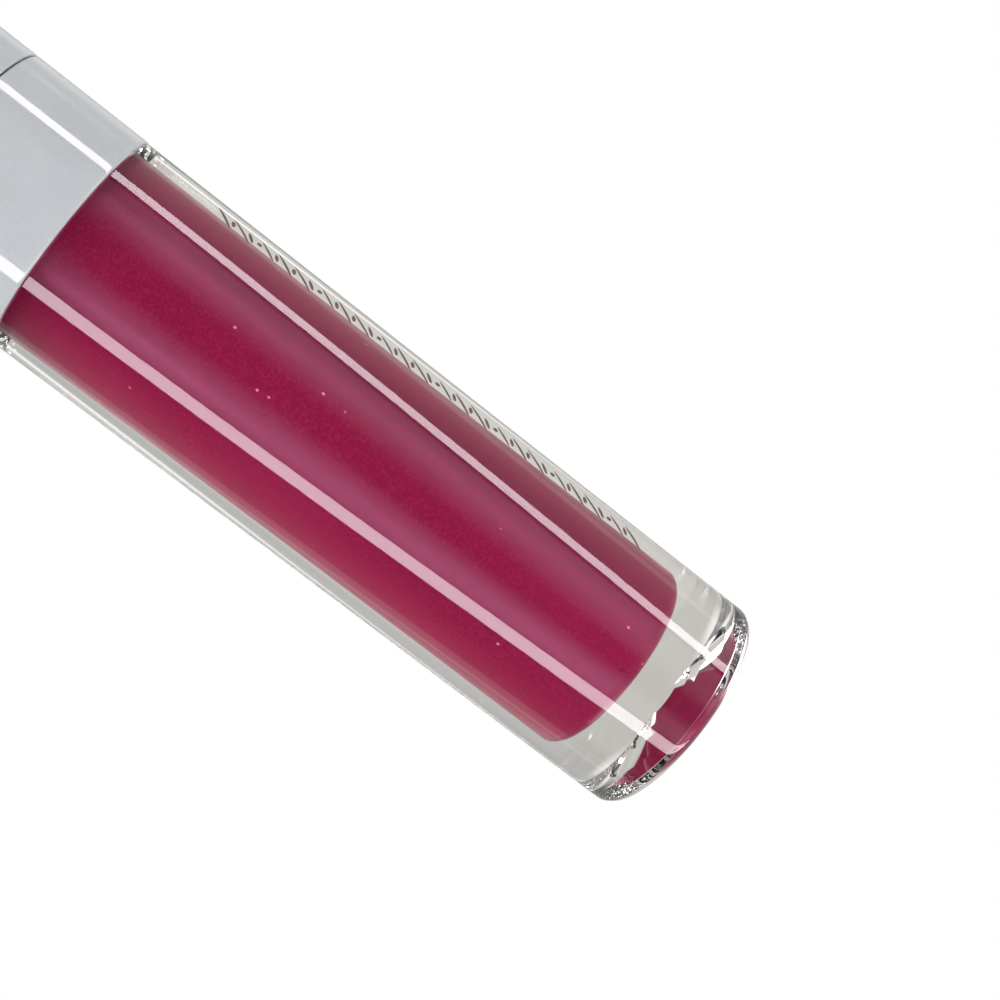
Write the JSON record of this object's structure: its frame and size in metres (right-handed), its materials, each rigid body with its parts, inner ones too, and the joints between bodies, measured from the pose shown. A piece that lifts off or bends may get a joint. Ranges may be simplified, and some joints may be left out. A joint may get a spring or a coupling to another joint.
{
  "type": "lip gloss tube",
  "caption": "Round heavy-walled clear lip gloss tube with a pressed-on collar and a long screw cap that carries a doe-foot wand.",
  "frame": {"origin": "centre of the base, on the plane of the foot ring", "axes": "+Z along the tube's axis, from the base to the top of the cap; +X and +Y across the tube"},
  "size_m": [0.0182, 0.0182, 0.11],
  "materials": {
    "clear_plastic": "clear heavy-walled moulded plastic, polished",
    "gloss_fill": "thick raspberry gloss with a fine lilac pearl",
    "natural_plastic": "unpigmented low-density polyethylene",
    "pearl_silver": "satin pearl silver paint",
    "liner_foam": "closed-cell foam liner",
    "white_plastic": "white polypropylene",
    "weight_steel": "turned zinc-plated steel",
    "stem_plastic": "smooth translucent white plastic",
    "flock": "short nylon flock, tinted by the gloss"
  },
  "bodies": {
    "container": {"bottle": "clear_plastic", "gloss": "gloss_fill", "wiper": "natural_plastic", "collar": "pearl_silver"},
    "liner": {"seal_liner": "liner_foam"},
    "weight": {"cap_weight": "weight_steel"},
    "cap": {"inner_cap": "white_plastic", "cap_shell": "pearl_silver", "stem": "stem_plastic", "applicator_core": "stem_plastic", "applicator_flock": "flock"}
  },
  "joints": [
    {"name": "cap_pull", "type": "slide", "parent": "container", "child": "liner", "axis": [0, 0, 1], "range_m": [0, 0.08]},
    {"name": "thread_lift", "type": "slide", "parent": "liner", "child": "weight", "axis": [0, 0, 1], "range_m": [0, 0.0045]},
    {"name": "cap_turn", "type": "hinge", "parent": "weight", "child": "cap", "pos_m": [0, 0, 0.072], "axis": [0, 0, 1], "range_deg": [0, 540]}
  ],
  "couplings": [
    {"joint": "thread_lift", "follows": "cap_turn", "m_per_rad": 0.00047746}
  ]
}
